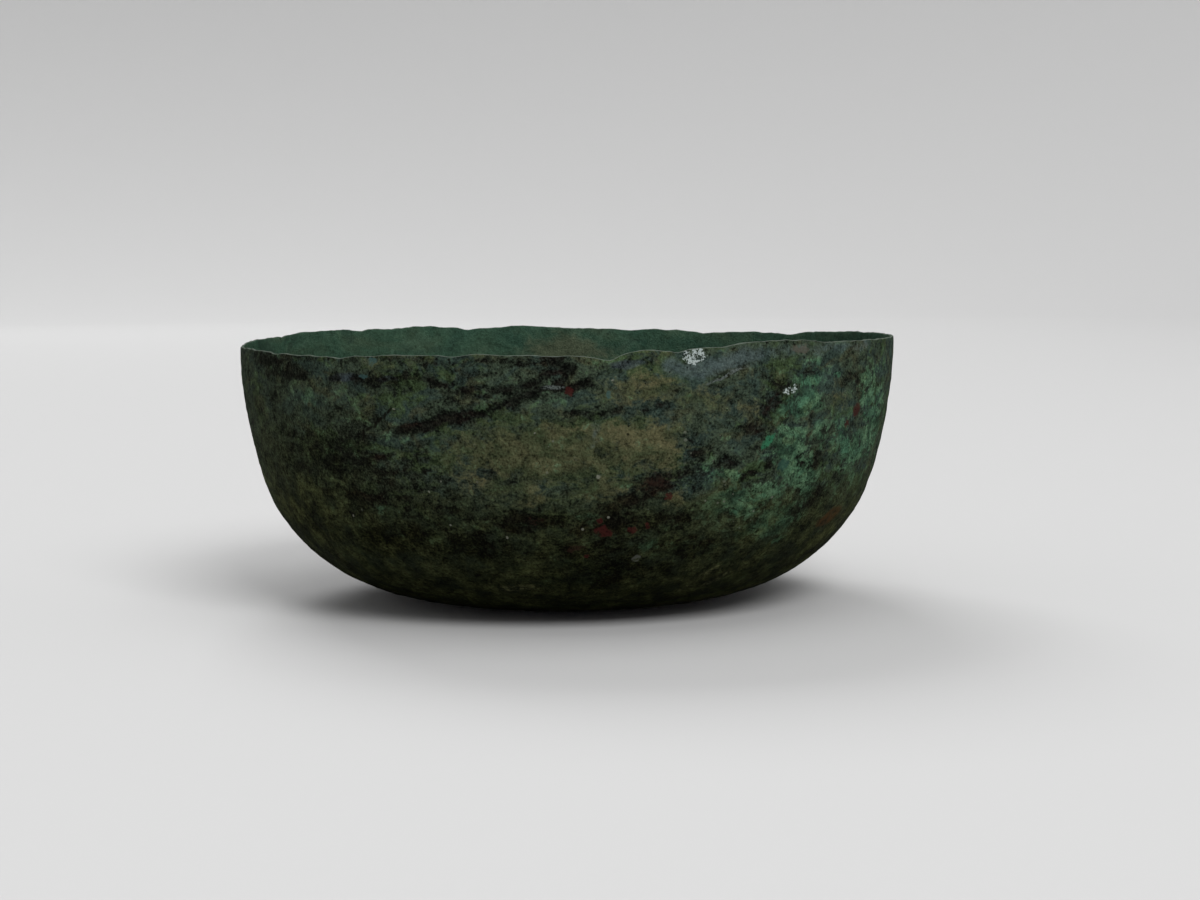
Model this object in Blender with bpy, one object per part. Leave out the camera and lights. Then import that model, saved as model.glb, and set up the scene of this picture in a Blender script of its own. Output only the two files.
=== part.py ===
"""Hammered copper bowl: one disc of copper sheet, raised and planished into a deep round bowl.

Units are metres and +Z is up. The origin is the middle of the flat spot the bowl stands on.
Azimuths run from the front (-Y) towards the right (+X).
"""

import math
import random

import bmesh
import bpy

# Form of the outside
RIM_DIAMETER = 0.160
RIM_HEIGHT = 0.0632
FOOT_DIAMETER = 0.040
SHOULDER_POWER = 4.2
BELLY_SWELL = 0.0009
BELLY_SWELL_HEIGHT = 0.023
BELLY_SWELL_SPREAD = 0.010

# Sheet, drawn thinner towards the rim as it was raised
FOOT_SHEET = 0.0015
RIM_SHEET = 0.0010
LIP_ROUNDING = 0.00025

# Planishing blows, laid in rings from the foot up, each ring staggered on the one below
BLOW_PITCH = 0.0090
COURSE_PITCH = 0.0100
BLOW_DEPTH = 0.00040
BLOW_SEED = 11

# Rim: a little higher at the right, warped like a saddle, cut by hand and worn since
RIM_TILT = 0.0007
RIM_WARP = 0.00093
RIM_WARP_AZIMUTH = 40.0
RIM_WEAR_REACH = 0.015
# One lump or hollow of the edge each: azimuth and half width in degrees, rise in metres
RIM_WEAR = (
    (6.2, 2.8, -0.0017),
    (11.5, 2.5, 0.0006),
    (16.0, 6.0, -0.0005),
    (36.0, 9.0, 0.0009),
    (62.0, 18.0, -0.0003),
    (108.0, 18.0, 0.0005),
    (133.0, 5.0, -0.0008),
    (150.0, 8.0, -0.0008),
    (177.0, 9.0, -0.0003),
    (190.0, 6.0, 0.0006),
    (199.0, 5.0, -0.0004),
    (210.0, 6.0, 0.0008),
    (237.0, 14.0, 0.0010),
    (264.0, 14.0, 0.0005),
    (293.0, 14.0, 0.0010),
    (309.0, 8.0, 0.0003),
    (336.0, 18.0, 0.0007),
    (357.0, 6.0, -0.0004),
)


def outline_point(lean):
    """Radius and height of the outside where the wall has turned by this angle from the floor."""
    spread = math.sin(lean) ** (2.0 / SHOULDER_POWER)
    foot_lean = math.asin((FOOT_DIAMETER / RIM_DIAMETER) ** (SHOULDER_POWER / 2.0))
    climb = 1.0 - math.cos(lean) / math.cos(foot_lean)
    height = RIM_HEIGHT * climb
    swell = BELLY_SWELL * math.exp(-(((height - BELLY_SWELL_HEIGHT) / BELLY_SWELL_SPREAD) ** 2))
    return RIM_DIAMETER / 2.0 * spread + swell, height


def even_outline(samples=600):
    """The outside from foot to rim as points a half course apart, measured along the wall."""
    foot_lean = math.asin((FOOT_DIAMETER / RIM_DIAMETER) ** (SHOULDER_POWER / 2.0))
    turn = math.pi / 2.0 - foot_lean
    fine = [outline_point(foot_lean + turn * step / samples) for step in range(samples + 1)]
    travelled = [0.0]
    for here, there in zip(fine, fine[1:]):
        travelled.append(travelled[-1] + math.dist(here, there))
    courses = max(3, round(travelled[-1] / COURSE_PITCH))
    points = []
    for ring in range(2 * courses + 1):
        target = travelled[-1] * ring / (2 * courses)
        nearest = min(range(len(fine)), key=lambda index: abs(travelled[index] - target))
        points.append(fine[nearest])
    return points


def rim_rise(azimuth):
    """How far the edge stands above or below the mean rim height at this azimuth in degrees."""
    rise = RIM_WARP * math.cos(2.0 * math.radians(azimuth - RIM_WARP_AZIMUTH))
    for middle, half_width, lift in RIM_WEAR:
        away = (azimuth - middle + 180.0) % 360.0 - 180.0
        rise += lift * math.exp(-((away / half_width) ** 2))
    return rise


def patinated_copper():
    """Old copper under a dark green patina."""
    material = bpy.data.materials.new("patinated_copper")
    material.use_nodes = True
    shader = material.node_tree.nodes["Principled BSDF"]
    shader.inputs["Base Color"].default_value = (0.045, 0.062, 0.042, 1.0)
    shader.inputs["Roughness"].default_value = 0.55
    shader.inputs["Metallic"].default_value = 0.3
    material.diffuse_color = (0.045, 0.062, 0.042, 1.0)
    return material


def raise_sheet(sheet):
    """The outside face of the bowl: its outline turned about the axis and closed by the foot."""
    ring_of = sheet.verts.layers.int.new("ring")
    outline = [sheet.verts.new((0.0, -radius, height)) for radius, height in even_outline()]
    for ring, vert in enumerate(outline):
        vert[ring_of] = ring
    edges = [sheet.edges.new(pair) for pair in zip(outline, outline[1:])]
    columns = 2 * round(math.pi * RIM_DIAMETER / BLOW_PITCH)
    bmesh.ops.spin(
        sheet,
        geom=outline + edges,
        cent=(0.0, 0.0, 0.0),
        axis=(0.0, 0.0, 1.0),
        angle=2.0 * math.pi,
        steps=columns,
    )
    bmesh.ops.remove_doubles(sheet, verts=sheet.verts[:], dist=1e-5)
    foot = [edge for edge in sheet.edges if edge.is_boundary and edge.verts[0][ring_of] == 0]
    bmesh.ops.contextual_create(sheet, geom=foot)
    bmesh.ops.recalc_face_normals(sheet, faces=sheet.faces[:])
    return columns, ring_of


def planish(sheet, columns, ring_of):
    """Sinks the middle of each hammer blow into the wall."""
    blows = random.Random(BLOW_SEED)
    outline = even_outline()
    struck = []
    for vert in sheet.verts:
        ring = vert[ring_of]
        azimuth = math.atan2(vert.co.x, -vert.co.y) % (2.0 * math.pi)
        column = round(azimuth / (2.0 * math.pi) * columns) % columns
        if ring % 2 == 1 and (column + ring // 2) % 2 == 0:
            struck.append((ring, column, vert))
    for ring, column, vert in sorted(struck, key=lambda blow: blow[:2]):
        below, above = outline[ring - 1], outline[ring + 1]
        run, rise = above[0] - below[0], above[1] - below[1]
        force = blows.uniform(0.4, 1.3) * (2.0 * outline[ring][0] / RIM_DIAMETER) ** 2
        depth = BLOW_DEPTH * force / math.hypot(run, rise)
        outward = vert.co.xy.normalized()
        vert.co.xy -= outward * depth * rise
        vert.co.z += depth * run


def trim_rim(sheet):
    """Tilts the wall above the level foot and warps its top so that its edge follows the worn rim."""
    for vert in sheet.verts:
        tilt = RIM_TILT * vert.co.x / (RIM_DIAMETER / 2.0)
        vert.co.z += tilt * vert.co.z / RIM_HEIGHT
        near_rim = 1.0 - (RIM_HEIGHT - vert.co.z) / RIM_WEAR_REACH
        if near_rim > 0.0:
            azimuth = math.degrees(math.atan2(vert.co.x, -vert.co.y))
            vert.co.z += rim_rise(azimuth) * min(1.0, near_rim) ** 2


for old in list(bpy.data.objects):
    bpy.data.objects.remove(old, do_unlink=True)

sheet = bmesh.new()
columns, ring_of = raise_sheet(sheet)
planish(sheet, columns, ring_of)
trim_rim(sheet)
for face in sheet.faces:
    face.smooth = True
sheet.verts.layers.int.remove(ring_of)
mesh = bpy.data.meshes.new("bowl")
sheet.to_mesh(mesh)
sheet.free()

bowl = bpy.data.objects.new("bowl", mesh)
bpy.context.collection.objects.link(bowl)
mesh.materials.append(patinated_copper())

# The sheet's own thickness, laid inwards from the hammered outside
thickest = max(FOOT_SHEET, RIM_SHEET)
gauge = bowl.vertex_groups.new(name="gauge")
for vert in mesh.vertices:
    up = min(1.0, max(0.0, vert.co.z / RIM_HEIGHT))
    gauge.add([vert.index], (FOOT_SHEET + (RIM_SHEET - FOOT_SHEET) * up) / thickest, "REPLACE")
shell = bowl.modifiers.new("sheet", "SOLIDIFY")
shell.thickness = thickest
shell.offset = -1.0
shell.use_even_offset = True
shell.use_quality_normals = True
shell.vertex_group = gauge.name

# The cut edge, rubbed round by use
lip = bowl.modifiers.new("lip", "BEVEL")
lip.width = LIP_ROUNDING
lip.segments = 1
lip.limit_method = "ANGLE"
lip.angle_limit = math.radians(50.0)
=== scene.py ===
import math
import random

import bpy
import numpy as np
from mathutils import Matrix, noise


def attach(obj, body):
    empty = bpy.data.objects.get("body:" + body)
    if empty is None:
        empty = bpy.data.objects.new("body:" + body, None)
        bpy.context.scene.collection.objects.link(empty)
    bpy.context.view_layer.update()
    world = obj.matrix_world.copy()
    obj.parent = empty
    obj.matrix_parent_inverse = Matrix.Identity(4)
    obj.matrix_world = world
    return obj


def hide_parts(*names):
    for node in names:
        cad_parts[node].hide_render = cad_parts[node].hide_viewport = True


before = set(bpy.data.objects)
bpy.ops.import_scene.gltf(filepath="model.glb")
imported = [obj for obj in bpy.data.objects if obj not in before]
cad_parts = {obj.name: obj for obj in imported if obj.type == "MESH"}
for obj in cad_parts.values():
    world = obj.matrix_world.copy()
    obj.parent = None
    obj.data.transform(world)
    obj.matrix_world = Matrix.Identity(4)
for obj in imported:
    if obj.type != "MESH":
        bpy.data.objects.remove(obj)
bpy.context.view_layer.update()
bpy.context.scene.view_settings.view_transform = "Standard"

# Bowl: one disc of copper sheet, raised over a stake in rings of hammer blows, with a thin rim that
# was cut by hand. Long burial has turned its skin to a pitted, flaking crust of copper minerals.
# Its mesh is a refined copy of the CAD bowl.
bpy.ops.object.select_all(action="DESELECT")
bowl = bpy.data.objects.new("patinated_bowl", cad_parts["bowl"].data.copy())
bpy.context.scene.collection.objects.link(bowl)
bpy.context.view_layer.objects.active = bowl
bowl.select_set(True)
bpy.ops.object.mode_set(mode="EDIT")
bpy.ops.mesh.select_all(action="SELECT")
bpy.ops.mesh.remove_doubles(threshold=2e-6)
bpy.ops.mesh.tris_convert_to_quads(
    face_threshold=math.radians(70), shape_threshold=math.radians(70)
)

# The flat spot inside is dissolved to one face and filled again with an even grid, so that its crust
# has no pole.
flat_radius = 0.0203
flat_height = 0.003
upright = 0.99
many_corners = 40
bpy.ops.mesh.select_all(action="DESELECT")
bpy.ops.object.mode_set(mode="OBJECT")
for face in bowl.data.polygons:
    corners = [bowl.data.vertices[index].co for index in face.vertices]
    low = all(corner.xy.length < flat_radius and corner.z < flat_height for corner in corners)
    face.select = low and face.normal.z > upright
bpy.ops.object.mode_set(mode="EDIT")
bpy.ops.mesh.dissolve_faces()
bpy.ops.mesh.region_to_loop()
bpy.ops.object.mode_set(mode="OBJECT")
inner_foot = [edge.index for edge in bowl.data.edges if edge.select]
bpy.ops.object.mode_set(mode="EDIT")
bpy.ops.mesh.select_all(action="DESELECT")
bpy.ops.object.mode_set(mode="OBJECT")
for face in bowl.data.polygons:
    face.select = len(face.vertices) > many_corners and face.normal.z > upright
bpy.ops.object.mode_set(mode="EDIT")
bpy.ops.mesh.delete(type="ONLY_FACE")
bpy.ops.mesh.select_mode(type="EDGE")
bpy.ops.mesh.select_all(action="DESELECT")
bpy.ops.object.mode_set(mode="OBJECT")
for index in inner_foot:
    bowl.data.edges[index].select = True
bpy.ops.object.mode_set(mode="EDIT")
bpy.ops.mesh.fill_grid(span=len(inner_foot) // 4)
bpy.ops.mesh.select_mode(type="VERT")
bpy.ops.object.mode_set(mode="OBJECT")

skin = bowl.modifiers.new("skin", "SUBSURF")
skin.levels = 2
skin.render_levels = 2
bpy.ops.object.modifier_apply(modifier="skin")

# Where each point of the sheet lies: azimuth in degrees from the front, distance from the axis and
# height in millimetres, and how far it is on the outside, the inside or the cut edge.
millimetres = 1000.0
mouth_height = 66.0
mesh = bowl.data
count = len(mesh.vertices)
place = np.empty(count * 3)
facing = np.empty(count * 3)
mesh.vertices.foreach_get("co", place)
mesh.vertices.foreach_get("normal", facing)
place = place.reshape(-1, 3) * millimetres
facing = facing.reshape(-1, 3)
azimuth = np.degrees(np.arctan2(place[:, 0], -place[:, 1]))
radius = np.hypot(place[:, 0], place[:, 1])
height = place[:, 2]


def fade(values, start, end):
    """0 up to the start, 1 from the end on and an even slope between."""
    return np.clip((values - start) / (end - start), 0.0, 1.0)


def degrees_from(middle):
    """How far each point lies round from this azimuth, from -180 to 180 degrees."""
    return (azimuth - middle + 180.0) % 360.0 - 180.0


from_mouth = place - np.array([0.0, 0.0, mouth_height])
from_mouth /= np.linalg.norm(from_mouth, axis=1)[:, None]
outward = (facing * from_mouth).sum(axis=1)
outside = fade(outward, -1.0 / 6.0, 1.0 / 6.0)
inside = 1.0 - outside
# The top of the cut edge, where it faces up, for a painted highlight.
lip = fade(facing[:, 2], 0.35, 0.85) * fade(height, 58.0, 59.5)

# Edges of the crust stray by a few millimetres, in long waves and in short ones. The seed is set
# because Blender takes it from the clock otherwise.
noise.seed_set(1)
wander = np.zeros((count, 3))
for waves_per_millimetre, reach in ((0.16, 2.4), (0.5, 1.0)):
    wander += np.array([noise.noise_vector(point * waves_per_millimetre) for point in place]) * reach


def dabs(*patches):
    """Soft-edged patches of crust on the outside, the smaller ones with straighter edges.

    Each is azimuth, height, half width, half height, tilt and amount.
    """
    full_stray_width = 8.0
    full_stray_height = 4.0
    laid = np.zeros(count)
    for middle, level, half_width, half_height, tilt, amount in patches:
        stray_sideways = min(1.0, half_width / full_stray_width)
        stray_upwards = min(1.0, half_height / full_stray_height)
        along = np.radians(degrees_from(middle)) * radius + wander[:, 0] * stray_sideways
        up = height - level + wander[:, 2] * stray_upwards
        cosine = math.cos(math.radians(tilt))
        sine = math.sin(math.radians(tilt))
        across = (along * cosine + up * sine) / half_width
        rise = (up * cosine - along * sine) / half_height
        laid = np.maximum(laid, amount * np.exp(-(across**2) - rise**2))
    return laid * outside


def streak(points, half_width, amount):
    """A wavering line of crust along the outside, through points of azimuth and height."""
    mean_radius = 78.0
    stray = 0.6
    nearest = np.full(count, np.inf)
    for (here, level), (there, next_level) in zip(points, points[1:]):
        along = np.radians(degrees_from(here)) * radius + wander[:, 0] * stray
        up = height - level + wander[:, 2] * stray
        run = math.radians(there - here) * mean_radius
        rise = next_level - level
        part = np.clip((along * run + up * rise) / (run * run + rise * rise), 0.0, 1.0)
        nearest = np.minimum(nearest, np.hypot(along - part * run, up - part * rise))
    return amount * np.exp(-((nearest / half_width) ** 2)) * outside


def keep(name, values):
    """Stores one value a point in the mesh, for the material to read."""
    layer = mesh.attributes.new(name, "FLOAT", "POINT")
    layer.data.foreach_set("value", values.astype(np.float32))


# Where each kind of crust lies: placed one by one on the side that the photograph shows, and strewn
# by a fixed draw over the rest.
draw = random.Random(23)


def strewn(number, size, amount):
    """Patches for dabs, of about this size and amount, on the side that the photograph hides."""
    return [
        (
            draw.uniform(78.0, 282.0),
            draw.uniform(8.0, 60.0),
            size * draw.uniform(0.6, 1.7),
            size * draw.uniform(0.4, 0.8),
            draw.uniform(-18.0, 18.0),
            amount * draw.uniform(0.6, 1.0),
        )
        for _ in range(number)
    ]


# Olive earth and green malachite.
olive = dabs(
    (-2.0, 42.0, 22.0, 7.5, 0.0, 0.95),
    (-10.0, 36.0, 14.0, 5.0, 0.0, 0.6),
    (13.0, 43.0, 11.0, 6.0, 8.0, 1.0),
    (6.0, 34.0, 8.0, 3.5, 0.0, 0.7),
    (-6.0, 31.5, 8.0, 2.5, 0.0, 0.6),
    (13.0, 56.0, 9.0, 4.0, 0.0, 0.65),
    (22.0, 53.0, 8.0, 4.0, 0.0, 0.45),
    (9.0, 53.5, 7.0, 3.0, 0.0, 0.45),
    (-24.0, 31.0, 7.0, 3.0, 0.0, 0.25),
    (-31.0, 60.5, 7.0, 2.0, 0.0, 0.45),
    (-29.0, 34.5, 6.0, 2.5, 0.0, 0.2),
    (-48.0, 56.0, 8.0, 3.0, 0.0, 0.3),
    (-62.0, 38.0, 12.0, 12.0, 0.0, 0.15),
    (19.0, 31.0, 3.5, 2.5, 20.0, 0.7),
    (31.0, 50.5, 5.0, 2.0, 0.0, 0.5),
    (33.0, 11.0, 7.0, 2.0, 25.0, 0.6),
    (52.0, 51.0, 7.0, 2.0, 0.0, 0.5),
    (64.0, 22.0, 14.0, 6.0, 0.0, 0.4),
    (-12.0, 10.0, 12.0, 2.0, 0.0, 0.4),
    *strewn(9, size=13.0, amount=0.8),
)
malachite = dabs(
    (43.0, 55.5, 6.0, 2.5, 0.0, 0.8),
    (42.0, 50.5, 7.0, 2.5, 0.0, 0.9),
    (40.0, 42.0, 7.0, 4.5, 0.0, 0.9),
    (44.0, 35.5, 8.0, 4.0, -20.0, 0.95),
    (34.0, 30.0, 12.0, 3.5, 10.0, 0.95),
    (40.0, 24.0, 11.0, 3.5, 15.0, 0.8),
    (27.0, 36.0, 8.0, 2.0, -10.0, 0.5),
    (48.0, 44.0, 6.0, 4.0, 0.0, 0.5),
    (54.0, 44.0, 6.0, 4.0, 0.0, 0.5),
    (60.0, 38.0, 9.0, 7.0, 0.0, 0.7),
    (62.0, 53.0, 8.0, 5.0, 0.0, 0.6),
    (45.0, 60.5, 5.0, 1.5, 0.0, 0.5),
    (17.0, 20.5, 6.0, 1.6, 0.0, 0.6),
    (3.0, 28.0, 4.0, 1.4, 0.0, 0.6),
    (-2.0, 53.0, 5.0, 1.6, 10.0, 0.32),
    (-13.0, 53.0, 6.0, 1.8, 8.0, 0.28),
    (-45.0, 53.0, 11.0, 3.5, 0.0, 0.28),
    (68.0, 45.0, 9.0, 12.0, 0.0, 0.6),
    (-24.0, 43.0, 7.0, 3.0, 0.0, 0.26),
    (-29.0, 46.0, 5.0, 3.0, 30.0, 0.26),
    (-34.0, 28.0, 3.0, 1.6, 0.0, 0.36),
    *strewn(12, size=12.0, amount=0.9),
)

# Bare places, where the crust has flaked off, and the dark streaks between beds.
bare = dabs(
    (-59.0, 61.0, 9.0, 2.5, 0.0, 0.8),
    (-57.0, 57.0, 5.0, 1.5, 0.0, 0.6),
    (-42.0, 42.0, 12.0, 3.0, 0.0, 0.4),
    (-37.0, 48.0, 8.0, 3.0, 0.0, 0.35),
    (-50.0, 40.0, 14.0, 7.0, 0.0, 0.4),
    (-26.0, 32.0, 16.0, 5.0, 0.0, 0.42),
    (-30.0, 21.0, 16.0, 3.5, 0.0, 0.5),
    (-15.0, 20.0, 10.0, 3.0, 0.0, 0.5),
    (-7.0, 26.6, 8.0, 2.6, 0.0, 1.0),
    (-3.0, 61.5, 8.0, 1.3, 0.0, 0.7),
    (1.0, 58.5, 4.0, 1.2, 20.0, 0.6),
    (5.0, 19.0, 10.0, 3.0, 0.0, 0.6),
    (7.0, 25.5, 7.0, 2.5, 0.0, 0.8),
    (10.0, 14.0, 10.0, 4.0, 0.0, 0.6),
    (15.5, 34.0, 8.0, 3.6, 25.0, 0.9),
    (18.5, 36.5, 4.0, 2.0, 0.0, 0.75),
    (10.5, 30.5, 5.0, 2.6, 15.0, 1.0),
    (20.0, 26.0, 8.0, 2.5, 0.0, 0.7),
    (22.0, 41.0, 3.0, 2.5, 0.0, 0.45),
    (23.0, 36.5, 5.0, 4.0, 0.0, 0.4),
    (25.0, 20.0, 10.0, 3.0, 10.0, 0.6),
    (28.0, 39.0, 4.0, 1.0, -5.0, 0.9),
    (33.0, 46.0, 4.0, 3.0, 0.0, 0.5),
    (36.0, 51.0, 4.0, 3.0, 0.0, 0.6),
    (45.0, 58.2, 5.0, 0.9, 0.0, 0.9),
    (48.0, 38.0, 4.0, 4.0, 0.0, 0.4),
    (49.0, 30.0, 6.0, 4.0, 0.0, 0.6),
    (57.0, 56.0, 6.0, 3.0, 0.0, 0.4),
    *strewn(16, size=11.0, amount=0.9),
)
for points, half_width, amount in (
    ([(-60, 58.5), (-52, 57.3), (-45, 58.3)], 1.0, 0.6),
    ([(-58, 62), (-46, 61.7), (-32, 62.2), (-22, 61.8), (-10, 61.6), (3, 61.6)], 0.9, 0.35),
    (
        [(-41, 57.5), (-36, 57.8), (-32, 57.2), (-28, 57.6), (-24, 58.2), (-20, 57), (-16, 55.9)],
        1.0,
        0.8,
    ),
    ([(-16, 55.9), (-11, 54.9), (-8, 55.7), (-5, 57.4), (-1, 58.8), (2, 60.5)], 1.0, 0.85),
    ([(-27, 46.5), (-22, 48), (-17, 49.8), (-12, 50.8), (-9, 52)], 1.1, 0.95),
    ([(-9, 52), (-6, 54.2), (-3, 55), (1, 56), (5, 57)], 1.1, 0.95),
    ([(1, 51.5), (4, 50.4), (8, 50.6), (11, 50.3), (14, 51.5), (17, 52.5)], 0.8, 0.6),
    ([(-44, 39.5), (-40, 38.5), (-35, 38.4), (-30, 41)], 0.8, 0.8),
    ([(-34, 36.8), (-30, 37), (-27, 37)], 0.7, 0.8),
    ([(-42, 31), (-37, 31.3), (-33, 31)], 0.9, 0.8),
    ([(-29, 28.5), (-25, 29.5), (-22, 30.5)], 0.8, 0.6),
    ([(32, 35), (34, 37), (36.5, 38.5)], 0.7, 0.8),
    ([(42.5, 39), (44, 37.5), (46.5, 36.3)], 0.7, 0.8),
):
    bare = np.maximum(bare, streak(points, half_width, amount))

# A blue-grey veil, mostly under the rim, in part a painted sheen where the smoother crust reflects the
# sky; and pale dust.
grey_veil_sheen = dabs((21.5, 60.0, 6.0, 3.0, 0.0, 1.0), (-35.0, 60.5, 7.0, 1.8, 0.0, 0.45))
for points, half_width, amount in (
    ([(17, 60.3), (22, 59.6), (28, 61), (33, 62)], 2.4, 1.0),
    ([(33, 62), (42, 63)], 1.8, 0.7),
    ([(40, 63), (62, 63)], 1.4, 0.6),
    ([(5.2, 49), (5, 44)], 0.9, 0.6),
    ([(17.5, 51), (16.6, 46.5)], 0.8, 0.5),
    ([(-41, 57.6), (-33, 57.4)], 0.8, 0.8),
):
    grey_veil_sheen = np.maximum(grey_veil_sheen, streak(points, half_width, amount))
dusty = dabs(
    (-18.0, 35.0, 6.0, 4.0, -20.0, 0.9),
    (23.0, 43.0, 6.0, 6.0, 0.0, 0.8),
    (27.0, 31.0, 7.0, 3.0, 0.0, 0.9),
    (36.0, 28.0, 10.0, 4.0, 15.0, 0.8),
    (14.0, 31.0, 6.0, 3.0, 20.0, 0.7),
    (0.0, 40.0, 25.0, 9.0, 0.0, 0.35),
    (-40.0, 27.0, 5.0, 2.0, 0.0, 0.6),
    (-16.0, 45.5, 4.0, 2.0, 0.0, 0.8),
    (-12.0, 43.0, 3.0, 2.0, 0.0, 0.7),
    (-3.0, 44.5, 3.0, 1.5, 0.0, 0.7),
    *strewn(6, size=9.0, amount=0.8),
)

# Dark streaks on the hidden side, each through five points.
for _ in range(7):
    start = draw.uniform(85.0, 240.0)
    level = draw.uniform(30.0, 60.0)
    points = [(start + 8.0 * place_along, level + draw.uniform(-2.0, 2.0)) for place_along in range(5)]
    bare = np.maximum(bare, streak(points, draw.uniform(0.7, 1.2), 0.85))

# Darker places where the crust is still whole, among them broad bands low on the wall.
darkened = dabs(
    (28.0, 53.5, 8.0, 2.2, 0.0, 0.35),
    (33.0, 50.0, 5.0, 3.5, 0.0, 0.4),
    (31.5, 45.5, 4.0, 2.5, 0.0, 0.2),
    (36.0, 55.0, 4.0, 2.0, 0.0, 0.5),
    (-51.0, 59.0, 5.0, 3.0, 0.0, 0.5),
    (-20.0, 48.5, 12.0, 1.3, 12.0, 0.4),
    (-37.0, 40.0, 12.0, 6.0, 0.0, 0.35),
    (-24.0, 40.0, 10.0, 4.0, 0.0, 0.35),
    (-13.0, 38.0, 8.0, 4.0, 0.0, 0.25),
    (-36.0, 30.0, 14.0, 6.0, 0.0, 0.4),
    (-20.0, 25.0, 18.0, 4.5, 0.0, 0.3),
    (6.0, 24.0, 18.0, 4.5, 0.0, 0.25),
    (31.0, 30.0, 5.0, 3.0, 0.0, 0.3),
)

# The hidden side, brown tarnish on the inside, painted shade towards the foot, painted shade and warm
# bounce light low on the wall, and a film at the left.
unseen = outside * fade(np.abs(azimuth), 80.0, 86.0) * fade(height, 10.0, 14.0)
tarnish = np.zeros(count)
for middle, level, half_width, half_height, amount in (
    (181.0, 57.0, 9.0, 4.0, 1.0),
    (60.0, 30.0, 30.0, 12.0, 0.5),
    (250.0, 18.0, 40.0, 8.0, 0.6),
    (330.0, 40.0, 25.0, 7.0, 0.5),
):
    along = degrees_from(middle) / half_width + wander[:, 0] * 0.1
    up = (height - level + wander[:, 2]) / half_height
    tarnish = np.maximum(tarnish, amount * np.exp(-(along**2) - up**2))
bottom_radius = 26.0
bottom_height = 8.0
bottom = np.exp(-(((radius + wander[:, 1] * 3.0) / bottom_radius) ** 4)) * (height < bottom_height)
tarnish = np.maximum(tarnish, 0.7 * bottom) * inside
foot_shade = (1.0 - fade(height + wander[:, 2], 0.0, 34.0)) * outside
film = dabs(
    (-66.0, 44.0, 26.0, 24.0, 0.0, 1.0),
    (-40.0, 48.0, 14.0, 8.0, 0.0, 0.5),
    (-30.0, 34.0, 14.0, 6.0, 0.0, 0.4),
)
# Low on the wall and at the lower sides: painted shade with painted warm light bounced up from below.
low_shade_and_bounce = dabs(
    (-58.0, 24.0, 32.0, 16.0, 0.0, 1.0),
    (-36.0, 20.0, 20.0, 8.0, 0.0, 0.9),
    (64.0, 16.0, 20.0, 10.0, 0.0, 0.9),
)
low_shade_and_bounce = np.maximum(foot_shade**0.6, low_shade_and_bounce)
for name, values in (
    ("olive", olive),
    ("malachite", malachite),
    ("bare", bare),
    ("darkened", darkened),
    ("grey_veil_sheen", grey_veil_sheen),
    ("dusty", dusty),
    ("inside", inside),
    ("lip", lip),
    ("foot_shade", foot_shade),
    ("low_shade_and_bounce", low_shade_and_bounce),
    ("film", film),
    ("tarnish", tarnish),
    ("unseen", unseen),
):
    keep(name, values)

# Small nicks in the rim: azimuth and half width in degrees, and amount.
nicks = np.zeros(count)
for middle, half_width, amount in (
    (7.6, 1.3, 1.0),
    (18.6, 1.0, 0.5),
    (-17.0, 2.2, 0.6),
    (-1.0, 2.0, 0.5),
    (26.0, 1.5, 0.5),
    (-56.0, 1.2, 0.5),
    (-39.0, 1.0, 0.4),
    (48.0, 2.0, 0.4),
    (131.0, 2.0, 0.3),
    (152.0, 1.6, 0.3),
    (168.0, 2.4, 0.4),
    (201.0, 1.6, 0.4),
    (226.0, 1.8, 0.6),
    (249.0, 1.2, 0.5),
    (277.0, 2.0, 0.5),
):
    nicks = np.maximum(nicks, amount * np.exp(-((degrees_from(middle) / half_width) ** 2)))

# The crust stands up in low swells and is gone where it has flaked; the rim is nibbled away.
least_weight = 0.003
for name, values in (
    ("crusted", fade(height, 0.0, 4.0)),
    ("flaked", bare),
    ("edge", fade(height, 55.0, 62.0) ** 2),
    ("nicks", nicks * fade(height, 58.0, 62.0) ** 2),
):
    group = bowl.vertex_groups.new(name=name)
    for index in np.nonzero(values > least_weight)[0]:
        group.add([int(index)], float(min(1.0, values[index])), "REPLACE")


def swell(name, group, strength, grain=None, still=0.5, direction="NORMAL", depth=3):
    """Lifts a group of points by a cloud of this grain, or evenly without one.

    Where the cloud's value is the still one, nothing moves.
    """
    lift = bowl.modifiers.new(name, "DISPLACE")
    if grain:
        lift.texture = bpy.data.textures.new(name, "CLOUDS")
        lift.texture.noise_scale = grain
        lift.texture.noise_depth = depth
        lift.texture_coords = "LOCAL"
    lift.direction = direction
    lift.vertex_group = group
    lift.strength = strength
    lift.mid_level = still
    bpy.ops.object.modifier_apply(modifier=name)


swell("crust_swells", "crusted", strength=0.0004, grain=0.006)
swell("crust_grit", "crusted", strength=0.0003, grain=0.0016)
swell("flaked_away", "flaked", strength=-0.0004, grain=0.004, still=0.1)
swell("nibbled_rim", "edge", strength=0.0006, grain=0.0035, direction="Z", depth=4)
swell("nicked_rim", "nicks", strength=-0.0007, still=0.0, direction="Z")
bpy.ops.object.shade_smooth()

# Patina: black and brown oxides under green copper carbonates, dusted with olive earth. Its beds lie
# along the hammer courses, so the broad noise is stretched sideways.
patina = bpy.data.materials.new("buried_copper_patina")
patina.use_nodes = True
tree = patina.node_tree
shader = tree.nodes["Principled BSDF"]
shader.inputs["Specular IOR Level"].default_value = 0.01
where = tree.nodes.new("ShaderNodeTexCoord").outputs["Object"]


def cloud(vector, scale, detail, rough, twist=0.0):
    """Noise from 0 to 1, most of it near 0.5."""
    node = tree.nodes.new("ShaderNodeTexNoise")
    node.inputs["Scale"].default_value = scale
    node.inputs["Detail"].default_value = detail
    node.inputs["Roughness"].default_value = rough
    node.inputs["Distortion"].default_value = twist
    tree.links.new(vector, node.inputs["Vector"])
    return node.outputs["Fac"]


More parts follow.
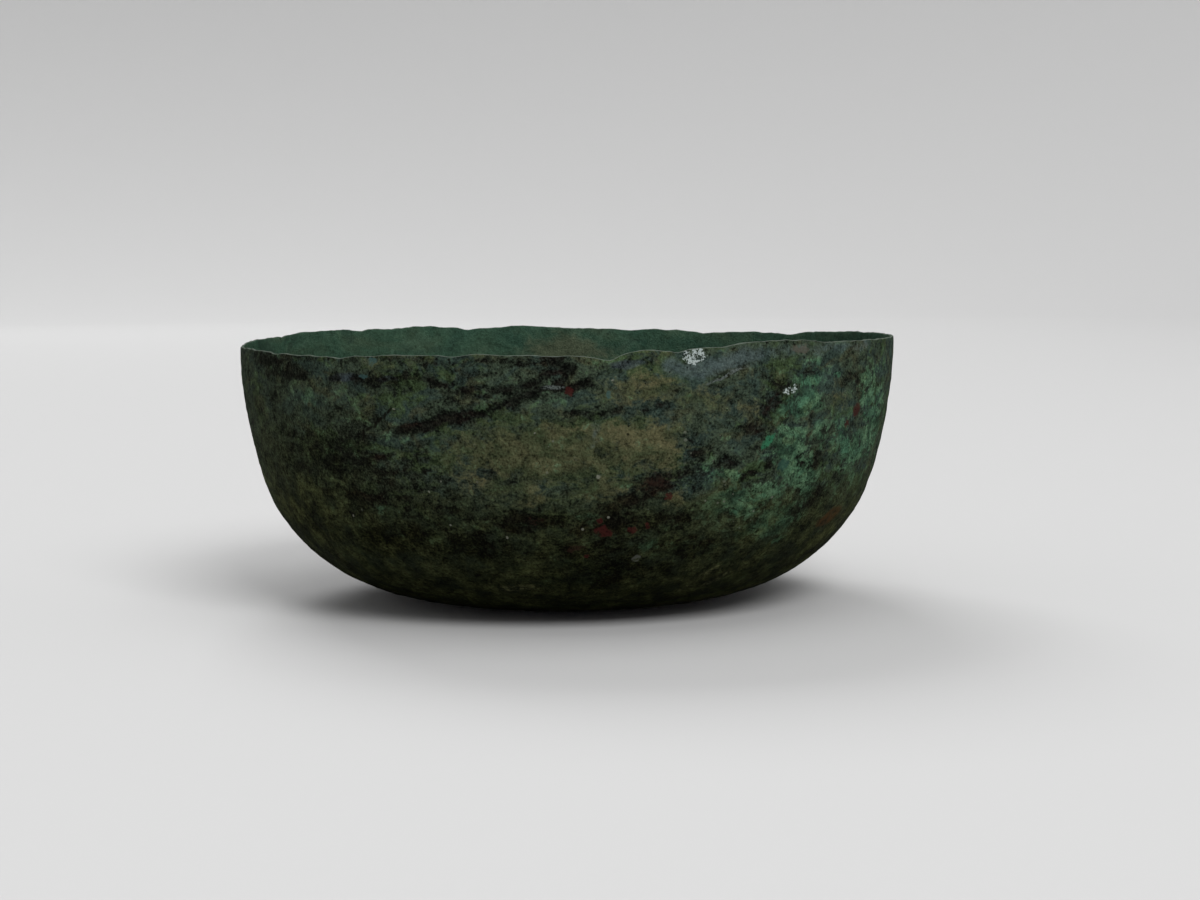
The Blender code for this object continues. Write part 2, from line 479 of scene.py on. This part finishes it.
def sums(operation, first, second=None, third=None):
    """One step of arithmetic on node outputs or numbers."""
    node = tree.nodes.new("ShaderNodeMath")
    node.operation = operation
    for socket, value in zip(node.inputs, (first, second, third)):
        if value is None:
            continue
        if isinstance(value, (int, float)):
            socket.default_value = value
        else:
            tree.links.new(value, socket)
    return node.outputs[0]


def step(value, low, high):
    """A soft step from 0 at the low value to 1 at the high one."""
    node = tree.nodes.new("ShaderNodeMapRange")
    node.interpolation_type = "SMOOTHSTEP"
    node.inputs["From Min"].default_value = low
    node.inputs["From Max"].default_value = high
    tree.links.new(value, node.inputs["Value"])
    return node.outputs["Result"]


def painted(name):
    """What was kept under this name in the mesh."""
    node = tree.nodes.new("ShaderNodeAttribute")
    node.attribute_name = name
    return node.outputs["Fac"]


def ramp(value, *stops):
    """Colours that run into one another as the value rises: each is a value and its colour."""
    node = tree.nodes.new("ShaderNodeValToRGB")
    while len(node.color_ramp.elements) < len(stops):
        node.color_ramp.elements.new(0.5)
    for element, (at, colour) in zip(node.color_ramp.elements, stops):
        element.position = at
        element.color = (*colour, 1.0)
    tree.links.new(value, node.inputs["Fac"])
    return node.outputs["Color"]


def lay(under, over, amount):
    """One colour over another, as thickly as the amount says."""
    node = tree.nodes.new("ShaderNodeMix")
    node.data_type = "RGBA"
    factor, below, above = node.inputs[0], node.inputs[6], node.inputs[7]
    for socket, value in ((factor, amount), (below, under), (above, over)):
        if isinstance(value, tuple):
            socket.default_value = (*value, 1.0)
        elif isinstance(value, float):
            socket.default_value = value
        else:
            tree.links.new(value, socket)
    return node.outputs[2]


def specks(vector, scale, size, share):
    """Small round spots: one in some of the cells of a scatter, of about this size and share."""
    cells = tree.nodes.new("ShaderNodeTexVoronoi")
    cells.inputs["Scale"].default_value = scale
    tree.links.new(vector, cells.inputs["Vector"])
    pick = tree.nodes.new("ShaderNodeSeparateColor")
    tree.links.new(cells.outputs["Color"], pick.inputs["Color"])
    chosen = step(pick.outputs[0], 1.0 - share, 1.02 - share)
    reach = sums("MULTIPLY_ADD", pick.outputs[1], size, size * 0.5)
    spot = sums("LESS_THAN", cells.outputs["Distance"], reach)
    return sums("MULTIPLY", chosen, spot)


# The wall unrolled, in millimetres round from the front and up from the foot, for the spots that have
# sharp edges. Their places wander a little, in crumbs or in longer waves.
wall_radius = 80.0
axes = tree.nodes.new("ShaderNodeSeparateXYZ")
tree.links.new(where, axes.inputs["Vector"])
around = sums("ARCTAN2", axes.outputs["X"], sums("MULTIPLY", axes.outputs["Y"], -1.0))
flat = tree.nodes.new("ShaderNodeCombineXYZ")
tree.links.new(sums("MULTIPLY", around, wall_radius), flat.inputs["X"])
tree.links.new(sums("MULTIPLY", axes.outputs["Z"], millimetres), flat.inputs["Y"])


def wandering(base, grain, reach):
    """The base coordinates, shifted to and fro by noise of this grain and reach."""
    stray = tree.nodes.new("ShaderNodeTexNoise")
    stray.inputs["Scale"].default_value = grain
    tree.links.new(where, stray.inputs["Vector"])
    centred = tree.nodes.new("ShaderNodeVectorMath")
    centred.operation = "SUBTRACT"
    centred.inputs[1].default_value = (0.5, 0.5, 0.5)
    tree.links.new(stray.outputs["Color"], centred.inputs[0])
    shifted = tree.nodes.new("ShaderNodeVectorMath")
    shifted.operation = "MULTIPLY_ADD"
    shifted.inputs[1].default_value = reach
    tree.links.new(centred.outputs[0], shifted.inputs[0])
    tree.links.new(base, shifted.inputs[2])
    return shifted.outputs[0]


crumbled = wandering(flat.outputs[0], grain=700.0, reach=(2.6, 2.6, 0.0))
wavy = wandering(flat.outputs[0], grain=240.0, reach=(1.8, 1.8, 0.0))
ruffled = wandering(where, grain=420.0, reach=(0.005, 0.005, 0.005))


def marks(wall, *spots):
    """Spots on the unrolled wall, full within and gone at a margin outside their edge.

    Each is azimuth, height, half width, half height and tilt.
    """
    margin = 1.25
    nearest = 0.0
    for middle, level, half_width, half_height, tilt in spots:
        spot = tree.nodes.new("ShaderNodeMapping")
        spot.vector_type = "TEXTURE"
        spot.inputs["Location"].default_value = (math.radians(middle) * wall_radius, level, 0.0)
        spot.inputs["Rotation"].default_value = (0.0, 0.0, math.radians(tilt))
        spot.inputs["Scale"].default_value = (half_width * margin, half_height * margin, 1.0)
        tree.links.new(wall, spot.inputs["Vector"])
        glow = tree.nodes.new("ShaderNodeTexGradient")
        glow.gradient_type = "SPHERICAL"
        tree.links.new(spot.outputs["Vector"], glow.inputs["Vector"])
        nearest = sums("MAXIMUM", nearest, glow.outputs["Fac"])
    return step(nearest, 0.0, 0.48)


layering = tree.nodes.new("ShaderNodeMapping")
layering.inputs["Scale"].default_value = (1.0, 1.0, 1.6)
tree.links.new(where, layering.inputs["Vector"])
beds = layering.outputs["Vector"]
broad = cloud(beds, scale=48.0, detail=4.0, rough=0.55, twist=0.6)
drift = cloud(beds, scale=95.0, detail=5.0, rough=0.6, twist=0.9)
mottle = cloud(beds, scale=230.0, detail=7.0, rough=0.64, twist=0.5)
flecks = cloud(where, scale=640.0, detail=5.0, rough=0.72, twist=0.3)
grit = cloud(where, scale=1900.0, detail=3.0, rough=0.75)
ragged = sums("SUBTRACT", sums("MULTIPLY_ADD", mottle, 1.4, flecks), 1.2)
fine = sums("MULTIPLY_ADD", flecks, 0.55, sums("MULTIPLY_ADD", grit, 0.95, -0.25))

# Carbonate greens drift into one another over the whole sheet.
sage = (0.033, 0.046, 0.030)
slate = (0.022, 0.035, 0.028)
moss = (0.027, 0.042, 0.019)
dun = (0.043, 0.045, 0.024)
sedge = (0.026, 0.035, 0.018)
colour = lay(sage, slate, step(drift, 0.42, 0.58))
colour = lay(colour, moss, step(sums("ADD", mottle, sums("SUBTRACT", broad, 0.5)), 0.48, 0.66))
dun_drift = cloud(beds, scale=130.0, detail=6.0, rough=0.65, twist=0.5)
colour = lay(colour, dun, sums("MULTIPLY", step(dun_drift, 0.50, 0.66), 0.7))
# Low on the wall the greens turn yellower: painted warm light bounced up from below.
colour = lay(colour, sedge, sums("MULTIPLY", step(painted("low_shade_and_bounce"), 0.0, 0.35), 0.65))

# Olive earth and the brighter malachite lie where they were painted, with ragged edges.
loam = ramp(drift, (0.38, (0.026, 0.035, 0.017)), (0.62, (0.053, 0.051, 0.026)))
colour = lay(colour, loam, step(sums("MULTIPLY_ADD", ragged, 1.1, painted("olive")), 0.18, 0.66))
patchwork = cloud(where, scale=190.0, detail=6.0, rough=0.58, twist=0.7)
jade = ramp(
    patchwork,
    (0.40, (0.015, 0.030, 0.018)),
    (0.49, (0.034, 0.070, 0.040)),
    (0.60, (0.060, 0.114, 0.064)),
)
jade = lay(jade, (0.024, 0.060, 0.040), sums("MULTIPLY", step(drift, 0.50, 0.62), 0.35))
flecked = step(sums("MULTIPLY_ADD", ragged, 1.6, painted("malachite")), 0.25, 0.48)
thick = sums("MULTIPLY_ADD", step(painted("malachite"), 0.12, 0.55), 0.6, 0.4)
colour = lay(colour, jade, sums("MULTIPLY", flecked, thick))
pale = marks(
    crumbled,
    (42.5, 50.8, 3.4, 1.5, -10.0),
    (43.5, 55.8, 3.2, 1.3, 0.0),
    (40.5, 43.5, 2.8, 1.7, 30.0),
    (43.8, 35.8, 3.8, 1.6, -25.0),
    (35.0, 29.8, 4.2, 1.5, 0.0),
    (31.0, 27.5, 2.6, 1.3, 0.0),
    (40.0, 22.8, 4.6, 1.4, 10.0),
    (45.0, 19.4, 2.6, 0.9, 10.0),
    (29.0, 36.3, 2.4, 0.9, -20.0),
    (24.0, 37.6, 1.9, 0.7, -30.0),
    (51.0, 57.0, 1.7, 0.8, 0.0),
    (60.0, 55.5, 2.8, 1.2, 0.0),
    (62.0, 46.5, 1.8, 0.9, 0.0),
    (57.0, 40.0, 4.0, 2.0, -10.0),
)
far_side = painted("unseen")
strewn_pale = specks(ruffled, scale=75.0, size=0.34, share=0.3)
pale = sums("MAXIMUM", pale, sums("MULTIPLY", strewn_pale, far_side))
lit = step(sums("MULTIPLY_ADD", ragged, 1.4, pale), 0.40, 0.80)
celadon = ramp(drift, (0.42, (0.052, 0.088, 0.045)), (0.58, (0.038, 0.092, 0.054)))
colour = lay(colour, celadon, sums("MULTIPLY", lit, 0.8))
veins = cloud(where, scale=100.0, detail=6.0, rough=0.55, twist=1.4)
veins = sums("ABSOLUTE", sums("SUBTRACT", veins, 0.5))
veins = sums("SUBTRACT", 1.0, step(veins, 0.003, 0.026))
veins = sums("MULTIPLY", veins, step(painted("malachite"), 0.15, 0.6))
veins = sums("MULTIPLY", veins, sums("MULTIPLY", step(flecks, 0.40, 0.56), 0.9))
colour = lay(colour, (0.010, 0.014, 0.010), veins)
# The veil's colour, in part a painted sheen of reflected sky.
veil_sheen = step(sums("MULTIPLY_ADD", ragged, 0.8, painted("grey_veil_sheen")), 0.25, 0.95)
colour = lay(colour, (0.036, 0.050, 0.051), sums("MULTIPLY", veil_sheen, 0.75))
violet = marks(
    wavy,
    (-37.5, 57.7, 5.5, 0.9, 2.0),
    (-29.0, 57.6, 3.0, 0.6, 0.0),
    (10.0, 61.0, 4.0, 0.8, 0.0),
)
colour = lay(colour, (0.025, 0.031, 0.040), sums("MULTIPLY", violet, 0.6))

# Where the crust is thin it darkens, and grey-black and brown oxide shows through.
oxide = ramp(
    drift,
    (0.40, (0.010, 0.011, 0.009)),
    (0.52, (0.014, 0.011, 0.009)),
    (0.62, (0.022, 0.012, 0.009)),
)
depth = sums("MULTIPLY", flecks, 0.30)
depth = sums("MULTIPLY_ADD", drift, 0.34, depth)
depth = sums("MULTIPLY_ADD", mottle, 0.62, depth)
for kind, gain in (
    ("olive", 0.08),
    ("malachite", 0.07),
    ("grey_veil_sheen", 0.10),
    ("bare", -0.24),
    ("darkened", -0.20),
):
    depth = sums("MULTIPLY_ADD", painted(kind), gain, depth)
tone = step(depth, 0.44, 0.82)
hollow = sums("SUBTRACT", 1.0, step(depth, 0.41, 0.59))
colour = lay(colour, oxide, sums("MULTIPLY", hollow, 0.86))
# A dark mottle low on the wall and at the lower sides: painted shade and painted warm bounce light.
shade_bounce_mottle = ramp(
    cloud(where, scale=170.0, detail=7.0, rough=0.62),
    (0.40, (0.008, 0.009, 0.004)),
    (0.50, (0.019, 0.021, 0.006)),
    (0.62, (0.050, 0.054, 0.018)),
)
colour = lay(colour, shade_bounce_mottle, sums("MULTIPLY", painted("low_shade_and_bounce"), 0.88))
stain = marks(
    wavy,
    (31.0, 12.6, 4.0, 0.8, 28.0),
    (34.5, 10.2, 4.5, 0.7, 30.0),
    (28.0, 8.6, 3.0, 0.6, 22.0),
    (-10.0, 10.0, 7.0, 0.9, 3.0),
)
stain = sums("MULTIPLY", stain, sums("MULTIPLY", step(flecks, 0.42, 0.6), 0.8))
colour = lay(colour, (0.075, 0.078, 0.034), stain)
colour = lay(colour, (0.031, 0.037, 0.021), sums("MULTIPLY", painted("film"), 0.45))

# Grain of the crust: every point a little lighter or darker, and painted shade darkening it towards the
# foot.
speckle = sums("SUBTRACT", fine, 0.5)
shade = sums("MULTIPLY_ADD", speckle, 4.0, sums("MULTIPLY_ADD", tone, 1.08, 0.49))
shade = sums("MULTIPLY", shade, sums("MULTIPLY_ADD", painted("foot_shade"), -0.62, 1.0))
grained = tree.nodes.new("ShaderNodeHueSaturation")
tree.links.new(colour, grained.inputs["Color"])
tree.links.new(sums("MAXIMUM", shade, 0.15), grained.inputs["Value"])
colour = grained.outputs["Color"]

# Small things on the crust: red cuprite, rust, a grey flake, bright green and blue grains, pale ridges,
# a buff spot, the crack, chalky lime, grains of sand, dust and pinholes.
crumbly = step(fine, 0.36, 0.50)
red = marks(
    crumbled,
    (0.9, 55.4, 1.0, 0.9, 0.0),
    (6.4, 24.2, 1.9, 1.0, -10.0),
    (7.6, 23.6, 1.0, 0.7, 0.0),
    (6.0, 26.6, 0.8, 0.4, 0.0),
    (12.0, 24.1, 1.4, 0.75, 0.0),
    (14.6, 25.1, 0.6, 0.5, 0.0),
    (17.9, 31.8, 0.7, 1.0, 0.0),
    (4.0, 18.0, 1.0, 0.7, 0.0),
    (58.6, 48.2, 1.9, 1.5, 0.0),
    (55.6, 45.1, 1.1, 0.9, 0.0),
)
strewn_red = specks(ruffled, scale=92.0, size=0.10, share=0.14)
red = sums("MAXIMUM", red, sums("MULTIPLY", strewn_red, far_side))
red = sums("MULTIPLY", red, sums("MULTIPLY_ADD", crumbly, 0.45, 0.4))
colour = lay(colour, (0.038, 0.009, 0.008), red)
rust = marks(
    crumbled,
    (15.0, 35.2, 4.5, 1.5, 15.0),
    (-5.0, 26.8, 2.5, 0.8, 0.0),
    (2.0, 20.0, 2.5, 0.8, 10.0),
)
rust = sums("MULTIPLY", rust, sums("MULTIPLY", step(flecks, 0.40, 0.60), 0.7))
colour = lay(colour, (0.022, 0.011, 0.008), rust)
smear = marks(wavy, (59.5, 23.2, 5.5, 2.0, 8.0), (57.0, 22.2, 3.0, 1.4, 0.0))
smear = sums("MULTIPLY", smear, sums("MULTIPLY_ADD", step(flecks, 0.38, 0.58), 0.6, 0.3))
colour = lay(colour, (0.046, 0.024, 0.009), smear)
flake = marks(crumbled, (13.5, 17.3, 1.1, 0.8, 0.0))
colour = lay(colour, (0.070, 0.074, 0.063), sums("MULTIPLY", flake, 0.8))
emerald = marks(crumbled, (35.2, 42.6, 1.1, 1.7, -30.0), (36.0, 43.6, 1.3, 0.7, 15.0))
emerald = sums("MULTIPLY", emerald, sums("MULTIPLY_ADD", crumbly, 0.6, 0.25))
colour = lay(colour, (0.026, 0.135, 0.068), emerald)
teal = marks(crumbled, (39.7, 37.3, 1.8, 1.4, 0.0))
colour = lay(colour, (0.018, 0.052, 0.044), sums("MULTIPLY", teal, 0.6))
blue = marks(
    crumbled,
    (-31.5, 61.5, 1.2, 0.8, 0.0),
    (7.0, 54.8, 0.8, 0.9, 0.0),
    (-33.6, 58.2, 1.4, 0.5, 0.0),
)
colour = lay(colour, (0.036, 0.076, 0.072), sums("MULTIPLY", blue, 0.7))
ridge = marks(wavy, (26.8, 58.2, 5.4, 0.36, 20.0), (-1.6, 56.3, 2.6, 0.5, 3.0))
ridge = sums("MULTIPLY", ridge, sums("MULTIPLY", step(fine, 0.38, 0.54), 0.9))
colour = lay(colour, (0.090, 0.106, 0.100), ridge)
buff = marks(crumbled, (41.2, 63.0, 3.0, 0.9, 0.0))
colour = lay(colour, (0.078, 0.072, 0.056), sums("MULTIPLY", buff, 0.7))
crack = marks(
    wavy,
    (-34.2, 45.3, 1.1, 0.32, 72.0),
    (-33.1, 46.5, 1.1, 0.34, 30.0),
    (-32.0, 47.5, 1.0, 0.34, 66.0),
    (-30.9, 48.5, 1.1, 0.34, 26.0),
    (-29.7, 49.3, 1.0, 0.32, 62.0),
    (-28.6, 50.4, 1.1, 0.30, 36.0),
)
colour = lay(colour, (0.006, 0.006, 0.004), sums("MULTIPLY", crack, 0.9))
lime = marks(crumbled, (20.9, 62.5, 2.7, 1.7, 0.0), (39.2, 54.1, 2.1, 0.75, 18.0))
crumbs = step(sums("MULTIPLY_ADD", speckle, 11.0, sums("MULTIPLY", lime, 0.68)), 0.4, 1.1)
colour = lay(colour, (0.33, 0.38, 0.37), sums("MULTIPLY", crumbs, step(lime, 0.02, 0.2)))
grains = marks(
    wavy,
    (5.6, 36.3, 0.46, 0.42, 0.0),
    (-4.4, 46.2, 0.22, 0.20, 0.0),
    (7.9, 57.5, 0.26, 0.24, 0.0),
    (3.2, 24.6, 0.34, 0.30, 0.0),
    (7.7, 27.2, 0.36, 0.34, 0.0),
    (-10.2, 22.7, 0.30, 0.28, 0.0),
    (-27.8, 50.7, 0.28, 0.26, 0.0),
    (-23.3, 33.0, 0.26, 0.26, 0.0),
    (-41.0, 26.2, 0.34, 0.30, 0.0),
    (-20.3, 25.5, 0.36, 0.34, 0.0),
)
colour = lay(colour, (0.17, 0.175, 0.14), sums("MULTIPLY", grains, 0.75))
settled = step(sums("MULTIPLY_ADD", ragged, 0.8, painted("dusty")), 0.20, 0.65)
dust = sums("MULTIPLY", specks(where, scale=640.0, size=0.17, share=0.45), settled)
colour = lay(colour, (0.125, 0.135, 0.105), sums("MULTIPLY", dust, 0.7))
pinholes = specks(where, scale=780.0, size=0.17, share=0.26)
pits = sums("MULTIPLY", pinholes, step(flecks, 0.40, 0.5))
colour = lay(colour, (0.004, 0.004, 0.003), sums("MULTIPLY", pits, 0.8))

# The inside kept a smoother, greener skin, browner in places. The lip is rubbed pale and, where it
# faces up, carries a painted highlight.
verdigris = ramp(
    broad,
    (0.40, (0.040, 0.068, 0.043)),
    (0.50, (0.034, 0.068, 0.044)),
    (0.66, (0.027, 0.060, 0.041)),
)
verdigris = lay(verdigris, (0.050, 0.090, 0.060), sums("MULTIPLY", step(patchwork, 0.52, 0.66), 0.6))
verdigris = lay(verdigris, (0.018, 0.034, 0.025), sums("MULTIPLY", step(drift, 0.54, 0.68), 0.6))
brown = step(sums("MULTIPLY_ADD", ragged, 0.8, painted("tarnish")), 0.1, 0.9)
verdigris = lay(verdigris, (0.066, 0.074, 0.045), sums("MULTIPLY", brown, 0.75))
inside_shade = sums("MULTIPLY_ADD", speckle, 1.5, sums("MULTIPLY_ADD", tone, 0.4, 0.8))
soft = tree.nodes.new("ShaderNodeHueSaturation")
tree.links.new(verdigris, soft.inputs["Color"])
tree.links.new(inside_shade, soft.inputs["Value"])
lining = lay(soft.outputs["Color"], (0.010, 0.017, 0.012), sums("MULTIPLY", pits, 0.5))
colour = lay(colour, lining, painted("inside"))
colour = lay(colour, (0.098, 0.118, 0.098), sums("MULTIPLY", step(painted("lip"), 0.3, 0.8), 0.8))
tree.links.new(colour, shader.inputs["Base Color"])

# The grey veil is smoother than the crust, and pits, cracks and bare places lie deeper.
rough = sums("MULTIPLY_ADD", ragged, 0.25, sums("MULTIPLY_ADD", veil_sheen, -0.3, 0.85))
tree.links.new(sums("MINIMUM", rough, 1.0), shader.inputs["Roughness"])
relief = sums("MULTIPLY_ADD", mottle, 0.8, fine)
relief = sums("MULTIPLY_ADD", painted("bare"), -0.3, relief)
relief = sums("MULTIPLY_ADD", hollow, -0.35, relief)
relief = sums("MULTIPLY_ADD", sums("MAXIMUM", pits, crack), -0.5, relief)
bump = tree.nodes.new("ShaderNodeBump")
bump.inputs["Strength"].default_value = 0.8
bump.inputs["Distance"].default_value = 0.0006
tree.links.new(relief, bump.inputs["Height"])
tree.links.new(bump.outputs["Normal"], shader.inputs["Normal"])
bowl.data.materials.clear()
bowl.data.materials.append(patina)

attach(bowl, "root")
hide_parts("bowl")

# Stage: a round floor of pale matt paper. Its edge is bent up in a wide curve to a low wall, so that
# every side has a plain ground behind it.
bpy.ops.object.select_all(action="DESELECT")
bpy.ops.mesh.primitive_circle_add(vertices=96, radius=2.8, fill_type="NGON")
sweep = bpy.context.object
sweep.name = "sweep"
bpy.ops.object.mode_set(mode="EDIT")
bpy.ops.mesh.select_mode(type="EDGE")
bpy.ops.mesh.select_all(action="SELECT")
bpy.ops.mesh.region_to_loop()
bpy.ops.mesh.extrude_edges_move(TRANSFORM_OT_translate={"value": (0.0, 0.0, 1.0)})
bpy.ops.object.mode_set(mode="OBJECT")
floor_level = 0.01
for edge in sweep.data.edges:
    edge.select = all(sweep.data.vertices[index].co.z < floor_level for index in edge.vertices)
bpy.ops.object.mode_set(mode="EDIT")
bpy.ops.mesh.bevel(offset=0.7, segments=20)
bpy.ops.object.mode_set(mode="OBJECT")
for face in sweep.data.polygons:
    face.use_smooth = len(face.vertices) == 4
paper = bpy.data.materials.new("pale_paper")
paper.use_nodes = True
paper_shader = paper.node_tree.nodes["Principled BSDF"]
paper_shader.inputs["Base Color"].default_value = (0.47, 0.47, 0.47, 1.0)
paper_shader.inputs["Roughness"].default_value = 0.9
sweep.data.materials.append(paper)

# Light: three soft square lamps, overhead, at the front right and behind at the left, and an even sky.
world = bpy.data.worlds.new("studio")
bpy.context.scene.world = world
world.use_nodes = True
sky = world.node_tree.nodes["Background"]
sky.inputs["Color"].default_value = (1.0, 1.0, 1.0, 1.0)
sky.inputs["Strength"].default_value = 0.45
for name, at, aim, size, power in (
    ("overhead", (0.25, -0.1, 1.8), (3.0, 8.0, 0.0), 1.3, 8.0),
    ("front", (1.2, -2.6, 2.4), (50.4, 0.0, 24.8), 1.75, 112.0),
    ("behind", (-0.88, 2.75, 2.4), (50.6, 0.0, 197.7), 1.75, 76.0),
):
    lamp = bpy.data.lights.new(name, "AREA")
    lamp.size = size
    lamp.energy = power
    stand = bpy.data.objects.new(name, lamp)
    stand.location = at
    stand.rotation_euler = [math.radians(angle) for angle in aim]
    bpy.context.scene.collection.objects.link(stand)

# Camera: a long lens a little above the rim, tipped down and leaning a touch to one side.
lens = bpy.data.cameras.new("camera")
lens.sensor_width = 36.0
lens.lens = 72.94
lens.clip_start = 0.01
camera = bpy.data.objects.new("camera", lens)
degrees_down = 4.92
tip = Matrix.Rotation(math.radians(90.0 - degrees_down), 4, "X")
lean = Matrix.Rotation(math.radians(-0.4), 4, "Z")
camera.matrix_world = Matrix.Translation((0.00789, -0.600, 0.08745)) @ tip @ lean
bpy.context.scene.collection.objects.link(camera)
bpy.context.scene.camera = camera
